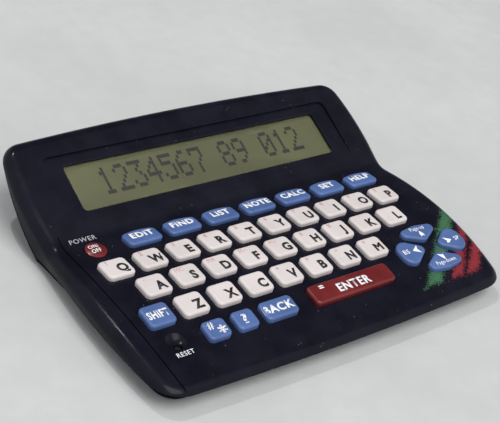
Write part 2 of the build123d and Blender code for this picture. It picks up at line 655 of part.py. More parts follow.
def bottom_cuts() -> list:
    """Battery opening with its tongue grooves, screw and foot recesses."""
    past = HUMP_REAR_Y + 5
    cover_bay = rect(-BAY_HALF_WIDTH, BAY_HALF_WIDTH, BAY_FRONT_Y, past)
    cell_bay = rect(-BAY_HALF_WIDTH, BAY_HALF_WIDTH, BAY_FRONT_Y, HUMP_REAR_Y - HUMP_WALL)
    cuts = [block(cover_bay, 0, COVER_TOP + COVER_GAP),
            block(cell_bay, 0, PLATE_TOP + 0.2),
            block(rect(-BAY_OUTER, BAY_OUTER, BAY_FRONT_Y, past), *tongue_heights(COVER_GAP / 2))]
    for x, y in case_places():
        cuts.append(Pos(x, y, 0) * block(disc(CASE_SCREW_R + SCREW_FIT), 0, TALL))
        cuts.append(Pos(x, y, 0) * block(disc(CASE_HEAD_R + SCREW_FIT), 0, head_seat(y)))
    for x, y in BOARD_SCREWS:
        cuts.append(Pos(x, y, 0) * block(disc(BOARD_SCREW_R + SCREW_FIT),
                                         BOARD_BOTTOM - BOARD_SCREW_DEPTH - 0.2, TALL))
    for x, y in foot_places():
        cuts.append(Pos(x, y, 0) * block(disc(FOOT_R + FOOT_FIT), 0, FOOT_RISE + FOOT_SEAT))
    return cuts


def head_seat(y: float) -> float:
    """Height of the face that the head of a case screw bears on."""
    return under_z(y) + CASE_HEAD_HEIGHT + 0.1


def tongue_heights(gap: float) -> tuple:
    """Lower and upper face of the cover's side tongues, or of their grooves with a gap."""
    low = FOOT_RISE + (COVER_THICKNESS - TONGUE_THICKNESS) / 2
    return low - gap, low + TONGUE_THICKNESS + gap


def foot_places() -> list:
    """Places of the four feet."""
    return [(side * x, y) for x, y in (FRONT_FEET, REAR_FEET) for side in (-1, 1)]


def battery_cover() -> Part:
    """Cover that slides out to the rear on two side tongues."""
    front = BAY_FRONT_Y + COVER_GAP
    plate = block(rect(-COVER_HALF_WIDTH, COVER_HALF_WIDTH, front, HUMP_REAR_Y), FOOT_RISE, COVER_TOP)
    reach = COVER_HALF_WIDTH + TONGUE_OUT
    plate += block(rect(-reach, reach, front, HUMP_REAR_Y - HUMP_WALL), *tongue_heights(0))
    for number in range(GRIP_COUNT):
        y = front + GRIP_START + number * GRIP_PITCH
        groove = rect(-GRIP_HALF_LENGTH, GRIP_HALF_LENGTH, y, y + GRIP_PITCH / 2)
        plate -= block(groove, 0, FOOT_RISE + GRIP_DEPTH)
    return plate


# ---------------------------------------------------------------- display
def display_window() -> Part:
    """Clear window against the seat under the panel."""
    return on_panel(0, WINDOW_MIDDLE, PAD_DEPTH + LENS_THICKNESS) * extrude(
        rounded(LCD_WIDTH, LCD_HEIGHT, 0.5), amount=LENS_THICKNESS)


def lcd_panel() -> Part:
    """Display glass under the window."""
    return on_panel(0, WINDOW_MIDDLE, PAD_DEPTH + LENS_THICKNESS + LCD_THICKNESS) * extrude(
        rounded(LCD_WIDTH, LCD_HEIGHT, 0.5), amount=LCD_THICKNESS)


def lcd_frame() -> Part:
    """Tray round the glass, with four ears on the heat stakes."""
    place = on_panel(0, WINDOW_MIDDLE, FRAME_DEPTH)
    tall = FRAME_DEPTH - PAD_DEPTH
    body = extrude(rounded(FRAME_WIDTH, FRAME_HEIGHT, WINDOW_CORNER_R), amount=tall)
    ear_plan = rounded(2 * EAR_X + FRAME_EAR - 1, 2 * STAKE_SPREAD + FRAME_EAR - 1, 1.5)
    ears = extrude(ear_plan, amount=EAR_THICKNESS)
    body += Pos(0, 0, tall - EAR_THICKNESS) * ears
    body -= Pos(0, 0, FRAME_LIP) * extrude(
        rounded(LCD_WIDTH + 2 * DISPLAY_FIT, LCD_HEIGHT + 2 * DISPLAY_FIT, 0.6), amount=tall)
    body -= extrude(rounded(WINDOW_WIDTH, WINDOW_HEIGHT, 1), amount=tall, both=True)
    for x in (-EAR_X, EAR_X):
        for step in (-STAKE_SPREAD, STAKE_SPREAD):
            body -= Pos(x, step, 0) * extrude(disc(STAKE_R + DISPLAY_FIT / 2),
                                              amount=tall, both=True)
    return place * body


def display_ribbon() -> Part:
    """Flat ribbon from the lower edge of the glass down to the board's wing."""
    glass_low = PAD_DEPTH + LENS_THICKNESS + LCD_THICKNESS + RIBBON_THICKNESS / 2
    lower_edge = WINDOW_MIDDLE - WINDOW_HEIGHT / 2
    first, second = [on_panel(0, lower_edge + rise, glass_low).position for rise in RIBBON_ON_GLASS]
    board_z = BOARD_TOP + RIBBON_THICKNESS / 2
    forward, run = RIBBON_ON_BOARD
    points = [(first.Y, first.Z), (second.Y, second.Z),
              (second.Y - forward, board_z), (second.Y + run, board_z)]
    path = Plane.YZ * FilletPolyline(points, radius=RIBBON_BEND_R)
    start = Plane(origin=path @ 0, z_dir=path % 0, x_dir=(1, 0, 0))
    section = start * Rectangle(RIBBON_WIDTH, RIBBON_THICKNESS).face()
    ribbon = sweep(section, path=path)
    return Pos((WING_X[0] + WING_X[1]) / 2, 0, 0) * ribbon


# ---------------------------------------------------------------- inside
def main_board() -> Part:
    """Circuit board under the keys, with a wing beside the battery bay."""
    main = rect(-BOARD_HALF_WIDTH, BOARD_HALF_WIDTH, BOARD_FRONT_Y, BOARD_REAR_Y)
    board = block(main, BOARD_BOTTOM, BOARD_TOP)
    board += block(rect(*WING_X, BOARD_REAR_Y - 1, WING_REAR_Y), BOARD_BOTTOM, BOARD_TOP)
    return board - [Pos(x, y, 0) * block(disc(BOARD_SCREW_R + SCREW_FIT), 0, TALL)
                    for x, y in BOARD_SCREWS]


def key_membrane(domes: dict) -> Part:
    """Rubber sheet on the board, with a low dome under each key."""
    sheet = block(rect(-BOARD_HALF_WIDTH + SHEET_MARGIN, BOARD_HALF_WIDTH - SHEET_MARGIN,
                       BOARD_FRONT_Y + SHEET_MARGIN, BOARD_REAR_Y - SHEET_MARGIN), BOARD_TOP, SHEET_TOP)
    places = [place for group in domes.values() for place in group]
    sheet += [Pos(x, y, SHEET_TOP + DOME_HEIGHT / 2) * Cone(DOME_R, POST_R + 0.2, DOME_HEIGHT)
              for x, y in places]
    cuts = [Pos(x, y, 0) * block(disc(BOARD_HEAD_R + 0.4), 0, TALL) for x, y in BOARD_SCREWS]
    width, depth = SWITCH_SIZE[0] + 1, SWITCH_SIZE[1] + 1
    cuts.append(Pos(*RESET_PLACE, 0) * block(Rectangle(width, depth).face(), 0, TALL))
    return sheet - cuts


def reset_switch() -> Part:
    """Tact switch under the reset button."""
    width, depth, height = SWITCH_SIZE
    body = block(Rectangle(width, depth).face(), BOARD_TOP, BOARD_TOP + height * 0.7)
    body += block(disc(RESET_PIN_R), BOARD_TOP, BOARD_TOP + height)
    return Pos(*RESET_PLACE, 0) * body


def chip_blob() -> Part:
    """Resin cap over the processor."""
    ball_r = (CHIP_R ** 2 + CHIP_HEIGHT ** 2) / (2 * CHIP_HEIGHT)
    ball = Pos(0, 0, BOARD_TOP + CHIP_HEIGHT - ball_r) * Sphere(ball_r)
    return Pos(*CHIP_PLACE, 0) * (ball & block(disc(CHIP_R), BOARD_TOP, BOARD_TOP + CHIP_HEIGHT))


def battery_cells() -> Part:
    """Two coin cells side by side, each with its smaller pole upward."""
    step = 0.5
    cell = block(disc(CELL_R), CELL_BOTTOM, CELL_TOP - step)
    cell += block(disc(CELL_R - 1.5), CELL_BOTTOM, CELL_TOP)
    return Part() + [Pos(side * CELL_SPREAD, CELL_Y, 0) * cell for side in (-1, 1)]


def battery_contacts() -> Part:
    """Bridge over both cells, and a spring finger against each cell's rim."""
    half = CONTACT_WIDTH / 2
    reach = BAY_OUTER + CONTACT_PASS
    bridge = rect(-reach, reach, CELL_Y - half, CELL_Y + half)
    parts = [block(bridge, CELL_TOP, CELL_TOP + CONTACT_THICKNESS)]
    finger_low, finger_high = CELL_BOTTOM + 0.2, CELL_TOP - 0.7
    rim = CELL_SPREAD + CELL_R + 0.1
    for side in (-1, 1):
        outer, tip, thick = side * BAY_OUTER, side * rim, side * CONTACT_THICKNESS
        points = [(outer, CELL_Y + 3), (outer, CELL_Y - 3), (outer - thick, CELL_Y - 3),
                  (tip, CELL_Y - 0.5), (tip, CELL_Y + 0.5), (tip + thick, CELL_Y + 0.5),
                  (tip + thick, CELL_Y - 0.3), (outer - thick, CELL_Y - 2.2), (outer - thick, CELL_Y + 3)]
        parts.append(block(make_face(Polyline(points, close=True)), finger_low, finger_high))
    return Part() + parts


# ---------------------------------------------------------------- fasteners and feet
def case_screws() -> Part:
    """Case screws, driven from below, with their heads sunk in recesses."""
    screws = []
    for x, y in case_places():
        seat = head_seat(y)
        head = block(disc(CASE_HEAD_R), seat - CASE_HEAD_HEIGHT, seat)
        head += block(disc(CASE_SCREW_R), seat, screw_top(y))
        slot = 0.4
        for turn in (0, 90):
            cross = Rot(0, 0, turn) * Rectangle(2 * CASE_SCREW_R, slot).face()
            head -= block(cross, seat - CASE_HEAD_HEIGHT - 1, seat - CASE_HEAD_HEIGHT + slot)
        screws.append(Pos(x, y, 0) * head)
    return Part() + screws


def board_screws() -> Part:
    """Small screws that hold the board on its standoffs."""
    screw = block(disc(BOARD_HEAD_R), BOARD_TOP, BOARD_TOP + BOARD_HEAD_HEIGHT)
    screw += block(disc(BOARD_SCREW_R), BOARD_BOTTOM - BOARD_SCREW_DEPTH, BOARD_TOP)
    return Part() + [Pos(x, y, 0) * screw for x, y in BOARD_SCREWS]


def rubber_feet() -> Part:
    """Four round feet, seated in shallow recesses."""
    foot = block(disc(FOOT_R), 0, FOOT_RISE + FOOT_SEAT)
    foot = fillet(foot.faces().sort_by(Axis.Z)[0].edges(), 0.3)
    return Part() + [Pos(x, y, 0) * foot for x, y in foot_places()]


# ---------------------------------------------------------------- assembly
def build() -> dict:
    """Every node of the part, by name."""
    plans = key_plans()
    domes = dome_map(plans)
    nodes = {
        "top_housing": top_housing(plans),
        "bottom_housing": bottom_housing(),
        "battery_cover": battery_cover(),
        "display_window": display_window(),
        "lcd_panel": lcd_panel(),
        "lcd_frame": lcd_frame(),
        "display_ribbon": display_ribbon(),
        "main_board": main_board(),
        "key_membrane": key_membrane(domes),
        "reset_switch": reset_switch(),
        "chip_blob": chip_blob(),
        "battery_cells": battery_cells(),
        "battery_contacts": battery_contacts(),
        "case_screws": case_screws(),
        "board_screws": board_screws(),
        "rubber_feet": rubber_feet(),
        "reset_button": reset_button(),
    }
    for name, plan in plans.items():
        nodes[name] = power_key(plan) if name == "key_on_off" else key_solid(plan, domes[name])
    return nodes


os.makedirs("parts", exist_ok=True)
for node, shape in build().items():
    export_step(shape, f"parts/{node}.step")
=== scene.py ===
"""Looks of a one-piece handheld electronic dictionary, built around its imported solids.

Sizes are in millimetres in the classes below and become metres where a mesh is made.
+X is the object's right, +Y its display end, +Z up from the table.
"""

import json
import logging
import math
from dataclasses import dataclass, field, replace
from enum import Enum
from typing import Callable

import bpy
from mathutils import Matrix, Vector

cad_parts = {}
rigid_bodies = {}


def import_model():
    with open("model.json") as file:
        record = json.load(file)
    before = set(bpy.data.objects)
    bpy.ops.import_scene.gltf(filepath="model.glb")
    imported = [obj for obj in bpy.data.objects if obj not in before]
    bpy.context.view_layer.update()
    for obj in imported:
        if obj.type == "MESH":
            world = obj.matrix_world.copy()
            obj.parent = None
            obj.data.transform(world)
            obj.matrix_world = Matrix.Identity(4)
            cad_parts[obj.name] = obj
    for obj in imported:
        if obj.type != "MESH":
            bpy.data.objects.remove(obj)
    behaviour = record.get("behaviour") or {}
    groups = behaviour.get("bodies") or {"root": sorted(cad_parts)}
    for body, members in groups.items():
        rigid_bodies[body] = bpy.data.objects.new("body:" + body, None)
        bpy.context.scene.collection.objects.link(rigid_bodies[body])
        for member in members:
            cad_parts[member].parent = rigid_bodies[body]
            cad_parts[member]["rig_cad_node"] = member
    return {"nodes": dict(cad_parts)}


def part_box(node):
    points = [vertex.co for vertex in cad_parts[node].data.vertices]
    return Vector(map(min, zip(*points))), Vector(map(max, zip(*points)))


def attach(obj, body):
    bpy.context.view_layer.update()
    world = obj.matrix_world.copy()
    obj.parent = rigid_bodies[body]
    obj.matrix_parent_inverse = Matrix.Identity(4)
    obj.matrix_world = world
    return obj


MM = 0.001
CAPITAL_SHARE = 0.682      # height of a capital in the built-in face, as a share of its size
PRINT_LIFT = 0.015         # ink stands this far off what carries it, mm
PRINT_THICKNESS = 0.02     # mm

Colour = tuple[float, float, float]
log = logging.getLogger("handheld")
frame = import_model()


# ---------------------------------------------------------------- small helpers
def pick_only(piece: bpy.types.Object) -> None:
    """Selects one object and makes it active."""
    bpy.ops.object.select_all(action="DESELECT")
    piece.select_set(True)
    bpy.context.view_layer.objects.active = piece


def settle(piece: bpy.types.Object) -> None:
    """Moves an object's place, turn and scale into its mesh."""
    pick_only(piece)
    bpy.ops.object.transform_apply(location=True, rotation=True, scale=True)


def finish_modifier(piece: bpy.types.Object, kind: str, **settings: object) -> None:
    """Adds one modifier and applies it.

    Args:
        piece: the mesh to change.
        kind: Blender's name for the modifier.
        settings: its values.
    """
    pick_only(piece)
    modifier = piece.modifiers.new(kind.lower(), kind)
    for name, value in settings.items():
        setattr(modifier, name, value)
    bpy.ops.object.modifier_apply(modifier=modifier.name)


def edit_faces(piece: bpy.types.Object, wanted: Callable[[bpy.types.MeshPolygon], bool]) -> None:
    """Opens a mesh in edit mode with only the wanted faces selected."""
    pick_only(piece)
    bpy.ops.object.mode_set(mode="EDIT")
    bpy.ops.mesh.select_mode(type="FACE")
    bpy.ops.mesh.select_all(action="DESELECT")
    bpy.ops.object.mode_set(mode="OBJECT")
    for face in piece.data.polygons:
        face.select = wanted(face)
    bpy.ops.object.mode_set(mode="EDIT")


def dress(node: str, finish: bpy.types.Material) -> None:
    """Gives one solid its finish."""
    piece = frame["nodes"][node]
    if not piece.material_slots:
        piece.data.materials.append(finish)
    for place in piece.material_slots:
        place.material = finish


def coat(piece: bpy.types.Object, finish: bpy.types.Material) -> None:
    """Gives one new piece its finish and no other."""
    piece.data.materials.clear()
    piece.data.materials.append(finish)


# ---------------------------------------------------------------- materials
class Mixture:
    """A material under construction: its shader, and short calls that add and join nodes."""

    def __init__(self, name: str) -> None:
        """Starts a material with a single shader."""
        self.material = bpy.data.materials.new(name)
        self.material.use_nodes = True
        self.tree = self.material.node_tree
        self.shader = self.tree.nodes["Principled BSDF"]
        self.place = self.add("ShaderNodeTexCoord").outputs["Object"]

    def add(self, kind: str, **settings: object) -> bpy.types.Node:
        """Adds a node with these settings."""
        node = self.tree.nodes.new(kind)
        for name, value in settings.items():
            setattr(node, name, value)
        return node

    def feed(self, target: bpy.types.NodeSocket, value: object) -> None:
        """Joins a socket to an input, or writes a number or colour there."""
        if isinstance(value, bpy.types.NodeSocket):
            self.tree.links.new(value, target)
        elif isinstance(value, tuple) and len(value) == 3 and target.type == "RGBA":
            target.default_value = (*value, 1.0)
        else:
            target.default_value = value

    def sum(self, operation: str, *values: object) -> bpy.types.NodeSocket:
        """One arithmetic step on sockets and numbers."""
        node = self.add("ShaderNodeMath", operation=operation)
        for target, value in zip(node.inputs, values):
            self.feed(target, value)
        return node.outputs[0]

    def grain(self, size: float, detail: float = 2.0,
              turned: Vector | None = None) -> bpy.types.NodeSocket:
        """Soft noise about a middle of one half.

        Args:
            size: width of its spots in millimetres.
            detail: how many finer layers it has.
            turned: stretch along X, Y and Z, for streaks.

        Returns:
            The noise as a socket.
        """
        noise = self.add("ShaderNodeTexNoise")
        noise.inputs["Scale"].default_value = 1.0 / (size * MM)
        noise.inputs["Detail"].default_value = detail
        place = self.place
        if turned is not None:
            stretch = self.add("ShaderNodeMapping")
            self.feed(stretch.inputs["Vector"], place)
            stretch.inputs["Scale"].default_value = turned
            place = stretch.outputs[0]
        self.feed(noise.inputs["Vector"], place)
        return noise.outputs["Fac"]

    def specks(self, size: float, share: float) -> bpy.types.NodeSocket:
        """Scattered round dots, one where a dot is and nought elsewhere.

        Args:
            size: mean distance between the cells they sit in, in millimetres.
            share: radius of a dot as a share of a cell.

        Returns:
            The mask as a socket.
        """
        cells = self.add("ShaderNodeTexVoronoi", feature="F1")
        cells.inputs["Scale"].default_value = 1.0 / (size * MM)
        self.feed(cells.inputs["Vector"], self.place)
        thin = self.grain(size * 3.1, 0.0)
        reach = self.between(thin, 0.5, 0.75, 0.0, share)
        return self.sum("LESS_THAN", cells.outputs["Distance"], reach)

    def between(self, value: object, low: float, high: float,
                first: float, second: float) -> bpy.types.NodeSocket:
        """Maps a range of a socket to another range, without going past its ends."""
        node = self.add("ShaderNodeMapRange", interpolation_type="SMOOTHSTEP")
        for target, number in zip(node.inputs, (value, low, high, first, second)):
            self.feed(target, number)
        return node.outputs[0]

    def tint(self, share: object, first: object, second: object) -> bpy.types.NodeSocket:
        """Blends two colours by a share from nought to one."""
        node = self.add("ShaderNodeMix", data_type="RGBA")
        self.feed(node.inputs["Factor"], share)
        self.feed(node.inputs[6], first)
        self.feed(node.inputs[7], second)
        return node.outputs[2]

    def relief(self, height: object, depth: float, below: object = None) -> bpy.types.NodeSocket:
        """Bumps the surface by a height socket.

        Args:
            height: nought to one.
            depth: how deep the relief is, in millimetres.
            below: another relief that this one lies on.

        Returns:
            The surface direction as a socket.
        """
        bump = self.add("ShaderNodeBump")
        bump.inputs["Distance"].default_value = depth * MM
        self.feed(bump.inputs["Height"], height)
        if below is not None:
            self.feed(bump.inputs["Normal"], below)
        return bump.outputs[0]

    def set(self, **values: object) -> None:
        """Writes or joins the shader's inputs, with spaces in their names as underscores."""
        for name, value in values.items():
            self.feed(self.shader.inputs[name.replace("_", " ")], value)


@dataclass(frozen=True)
class MouldedPlastic:
    """Injection-moulded plastic with a fine texture, faint mottling and dust."""

    name: str
    colour: Colour
    roughness: float = 0.45
    texture: float = 0.25      # width of the moulded grain, mm
    depth: float = 0.01        # depth of the moulded grain, mm
    mottle: float = 0.12       # how far the colour strays
    dust: float = 0.0          # radius of dust specks, as a share of their spacing
    specular: float = 0.5
    cloud: float = 9.0         # width of the mottling, mm
    smudge: float = 4.0        # width of the shinier and duller places, mm
    dust_spacing: float = 1.3  # mm
    dust_share: float = 0.55   # how far a speck covers the plastic
    dust_colour: Colour = (0.42, 0.42, 0.44)

    def mix(self) -> Mixture:
        """Builds the finish and returns it open for more."""
        mixture = Mixture(self.name)
        cloud = mixture.grain(self.cloud, 3.0)
        lighter = tuple(min(1.0, part * (1 + self.mottle) + 0.002) for part in self.colour)
        darker = tuple(part * (1 - self.mottle) for part in self.colour)
        colour = mixture.tint(mixture.between(cloud, 0.3, 0.7, 0.0, 1.0), darker, lighter)
        if self.dust:
            marks = mixture.specks(self.dust_spacing, self.dust)
            cover = mixture.sum("MULTIPLY", marks, self.dust_share)
            colour = mixture.tint(cover, colour, self.dust_colour)
        grain = mixture.grain(self.texture, 2.0)
        smudge = mixture.grain(self.smudge, 4.0)
        rough = mixture.between(smudge, 0.3, 0.7, self.roughness - 0.05, self.roughness + 0.07)
        mixture.set(Base_Color=colour, Roughness=rough, Specular_IOR_Level=self.specular)
        mixture.set(Normal=mixture.relief(grain, self.depth))
        return mixture

    def make(self) -> bpy.types.Material:
        """The finished material."""
        return self.mix().material


@dataclass(frozen=True)
class Stripe:
    """One sprayed stripe across the front right corner of the deck, between two lines in plan."""

    colour: Colour
    rear: tuple[float, float, float, float]    # a line x0, y0, x1, y1 in millimetres
    front: tuple[float, float, float, float]


@dataclass(frozen=True)
class StripedCasing(MouldedPlastic):
    """The upper housing's plastic, with the sprayed stripes."""

    stripes: tuple[Stripe, ...] = ()
    right_end: float = 60.0
    front_end: float = -37.4
    deck_low: float = 4.0      # below this height nothing is sprayed
    spray: float = 0.32        # width of the droplets at a stripe's edge, mm
    patch: float = 2.6         # width of the ragged places there, mm
    spray_reach: float = 5.0   # how far the droplets stray
    patch_reach: float = 2.0   # how far the ragged places stray
    thick: float = 0.95        # cover of a stripe where it is thickest

    def side_of(self, mixture: Mixture, line: tuple[float, float, float, float],
                sign: float) -> bpy.types.NodeSocket:
        """Distance from a line in plan, in millimetres, above nought on the stripe's side.

        Args:
            mixture: the material under construction.
            line: two points in millimetres.
            sign: 1 where the stripe is below the line and -1 where it is above.

        Returns:
            The distance as a socket.
        """
        x0, y0, x1, y1 = line
        length = math.hypot(x1 - x0, y1 - y0)
        across = Vector(((y1 - y0) / length, -(x1 - x0) / length, 0.0)) * sign
        if across.y * sign > 0:
            across = -across
        node = mixture.add("ShaderNodeVectorMath", operation="DOT_PRODUCT")
        mixture.feed(node.inputs[0], mixture.place)
        node.inputs[1].default_value = across / MM
        return mixture.sum("SUBTRACT", node.outputs["Value"], across.x * x0 + across.y * y0)

    def mix(self) -> Mixture:
        """Sprays the stripes over the plain plastic."""
        mixture = super().mix()
        parts = mixture.add("ShaderNodeSeparateXYZ")
        mixture.feed(parts.inputs[0], mixture.place)
        inside = mixture.sum("SUBTRACT", self.right_end, mixture.sum("DIVIDE", parts.outputs["X"], MM))
        before = mixture.sum("SUBTRACT", mixture.sum("DIVIDE", parts.outputs["Y"], MM), self.front_end)
        ends = mixture.sum("MINIMUM", inside, before)
        spray = mixture.sum("SUBTRACT", mixture.grain(self.spray, 1.0), 0.5)
        patch = mixture.sum("SUBTRACT", mixture.grain(self.patch, 2.0), 0.5)
        scatter = mixture.sum("ADD", mixture.sum("MULTIPLY", spray, self.spray_reach),
                              mixture.sum("MULTIPLY", patch, self.patch_reach))
        colour = mixture.shader.inputs["Base Color"].links[0].from_socket
        high = mixture.sum("GREATER_THAN", parts.outputs["Z"], self.deck_low * MM)
        for stripe in self.stripes:
            rear = self.side_of(mixture, stripe.rear, 1.0)
            front = self.side_of(mixture, stripe.front, -1.0)
            depth = mixture.sum("MINIMUM", mixture.sum("MINIMUM", rear, front), ends)
            share = mixture.between(mixture.sum("ADD", depth, scatter), -0.1, 0.6, 0.0, self.thick)
            share = mixture.sum("MULTIPLY", share, high)
            worn = mixture.between(mixture.grain(0.5, 3.0), 0.35, 0.6, 0.72, 1.0)
            colour = mixture.tint(mixture.sum("MULTIPLY", share, worn), colour, stripe.colour)
        mixture.set(Base_Color=colour)
        return mixture


@dataclass(frozen=True)
class Ink:
    """Pad-printed ink with small worn places."""

    name: str
    colour: Colour
    under: Colour              # colour of what carries it, where the ink is thin
    wear: float = 0.15         # how much of the under colour shows in worn places
    worn: float = 0.35         # width of the worn places, mm
    roughness: float = 0.5

    def make(self) -> bpy.types.Material:
        """The finished material."""
        mixture = Mixture(self.name)
        thin = mixture.between(mixture.grain(self.worn, 3.0), 0.45, 0.75, 0.0, self.wear)
        mixture.set(Base_Color=mixture.tint(thin, self.colour, self.under), Roughness=self.roughness)
        mixture.set(Normal=mixture.relief(mixture.grain(0.12, 1.0), 0.003))
        return mixture.material


@dataclass(frozen=True)
class PolishedMetal:
    """Plated or stainless sheet metal with fine rolling marks."""

    name: str
    colour: Colour
    roughness: float = 0.3
    streak: float = 0.2        # width of the rolling marks, mm
    tarnish: float = 3.0       # width of the duller places, mm
    dull: float = 0.6          # how bright those are, against the rest

    def make(self) -> bpy.types.Material:
        """The finished material."""
        mixture = Mixture(self.name)
        marks = mixture.grain(self.streak, 2.0, Vector((1.0, 0.06, 1.0)))
        tarnish = mixture.between(mixture.grain(self.tarnish, 4.0), 0.4, 0.7, 0.0, 0.35)
        duller = tuple(part * self.dull for part in self.colour)
        mixture.set(Base_Color=mixture.tint(tarnish, self.colour, duller), Metallic=1.0)
        rough = mixture.between(marks, 0.3, 0.7, self.roughness - 0.07, self.roughness + 0.1)
        mixture.set(Roughness=rough)
        mixture.set(Normal=mixture.relief(marks, 0.004))
        return mixture.material


@dataclass(frozen=True)
class CircuitBoard:
    """Green lacquered board with copper lines under the lacquer."""

    name: str
    lacquer: Colour = (0.012, 0.09, 0.035)
    copper: Colour = (0.09, 0.17, 0.05)
    pitch: float = 1.2         # distance between lines, mm

    def make(self) -> bpy.types.Material:
        """The finished material."""
        mixture = Mixture(self.name)
        parts = mixture.add("ShaderNodeSeparateXYZ")
        mixture.feed(parts.inputs[0], mixture.place)
        wander = mixture.sum("MULTIPLY", mixture.grain(14.0, 0.0), 26.0)
        run = mixture.sum("ADD", mixture.sum("DIVIDE", parts.outputs["Y"], self.pitch * MM), wander)
        line = mixture.sum("LESS_THAN", mixture.sum("PINGPONG", run, 0.5), 0.17)
        mixture.set(Base_Color=mixture.tint(line, self.lacquer, self.copper))
        mixture.set(Roughness=0.35, Coat_Weight=0.4)
        mixture.set(Normal=mixture.relief(line, 0.02))
        return mixture.material


@dataclass(frozen=True)
class HeatSealFilm:
    """Film ribbon with printed conductors along its length."""

    name: str
    pitch: float = 0.5         # distance between conductors, mm
    film: Colour = (0.42, 0.33, 0.17)
    conductor: Colour = (0.03, 0.03, 0.035)

    def make(self) -> bpy.types.Material:
        """The finished material."""
        mixture = Mixture(self.name)
        parts = mixture.add("ShaderNodeSeparateXYZ")
        mixture.feed(parts.inputs[0], mixture.place)
        run = mixture.sum("DIVIDE", parts.outputs["X"], self.pitch * MM)
        line = mixture.sum("LESS_THAN", mixture.sum("PINGPONG", run, 0.5), 0.24)
        mixture.set(Base_Color=mixture.tint(line, self.film, self.conductor), Roughness=0.4)
        mixture.set(Normal=mixture.relief(line, 0.01))
        return mixture.material


@dataclass(frozen=True)
class LiquidCrystal:
    """Olive reflective display glass, faintly clouded and flecked."""

    name: str
    colour: Colour = (0.125, 0.129, 0.058)
    clouded: Colour = (0.066, 0.070, 0.034)
    cloud: float = 22.0        # width of the clouds, mm
    fleck: float = 0.22        # width of the flecks, mm

    def make(self) -> bpy.types.Material:
        """The finished material."""
        mixture = Mixture(self.name)
        cloud = mixture.between(mixture.grain(self.cloud, 2.0), 0.3, 0.7, 0.0, 0.35)
        fleck = mixture.between(mixture.grain(self.fleck, 2.0), 0.35, 0.65, 0.0, 0.18)
        colour = mixture.tint(mixture.sum("ADD", cloud, fleck), self.colour, self.clouded)
        mixture.set(Base_Color=colour, Roughness=0.42, Specular_IOR_Level=0.3)
        mixture.set(Normal=mixture.relief(mixture.grain(0.3, 1.0), 0.002))
        return mixture.material


@dataclass(frozen=True)
class ClearWindow:
    """Clear acrylic with a few hairline scratches."""

    name: str
    scratch: float = 0.5       # width of the scratches, mm
    clear: float = 0.02        # roughness between them
    scratched: float = 0.14    # roughness in them

    def make(self) -> bpy.types.Material:
        """The finished material."""
        mixture = Mixture(self.name)
        marks = mixture.grain(self.scratch, 4.0, Vector((1.0, 0.05, 1.0)))
        scratch = mixture.between(marks, 0.62, 0.8, self.clear, self.scratched)
        mixture.set(Base_Color=(1.0, 1.0, 1.0), Roughness=scratch, IOR=1.49, Transmission_Weight=1.0)
        through = mixture.add("ShaderNodeBsdfTransparent")
        path = mixture.add("ShaderNodeLightPath")
        both = mixture.add("ShaderNodeMixShader")
        mixture.feed(both.inputs[0], path.outputs["Is Shadow Ray"])
        mixture.feed(both.inputs[1], mixture.shader.outputs[0])
        mixture.feed(both.inputs[2], through.outputs[0])
        mixture.feed(mixture.tree.nodes["Material Output"].inputs["Surface"], both.outputs[0])
        return mixture.material


# ---------------------------------------------------------------- print
class Side(Enum):
    """Which way a cursor arrow points."""

    UP = 0.0
    LEFT = 90.0
    DOWN = 180.0
    RIGHT = 270.0


@dataclass(frozen=True)
class Word:
    """Letters printed on a key or on the housing.

    across and up are the middle of the letters: from the middle of the key, or from the
    object's centre where the housing carries them.
    """

    words: str
    across: float
    up: float
    height: float              # of a capital
    stretch: float = 1.0
    weight: float = 0.02       # how much the strokes are thickened, as a share of the size
    spread: float = 1.08       # distance between letters, against the face's own
    smear: float = 0.0         # how far copies go to each side, to thicken strokes, in mm

    def cut(self, name: str) -> bpy.types.Object:
        """Makes the letters as a flat mesh round the origin."""
        bpy.ops.object.select_all(action="DESELECT")
        bpy.ops.object.text_add()
        piece = bpy.context.object
        piece.name = name
        piece.data.body = self.words
        piece.data.offset = self.weight
        piece.data.resolution_u = 3
        piece.data.space_line = 0.95
        piece.data.space_character = self.spread
        piece.data.align_x = "CENTER"
        bpy.ops.object.convert(target="MESH")
        piece = bpy.context.object
        low, high = zip(*((min(side), max(side)) for side in zip(*(v.co for v in piece.data.vertices))))
        share = self.height / CAPITAL_SHARE * MM
        piece.scale = (share * self.stretch, share, share)
        piece.location = (-(low[0] + high[0]) / 2 * share * self.stretch,
                          -(low[1] + high[1]) / 2 * share, 0.0)
        settle(piece)
        bpy.ops.object.mode_set(mode="EDIT")
        bpy.ops.mesh.select_all(action="SELECT")
        bpy.ops.mesh.remove_doubles(threshold=1e-7)
        if self.smear:
            for step in (self.smear, -2 * self.smear):
                bpy.ops.mesh.duplicate()
                bpy.ops.transform.translate(value=(step * MM, 0.0, 0.0))
        bpy.ops.object.mode_set(mode="OBJECT")
        return piece


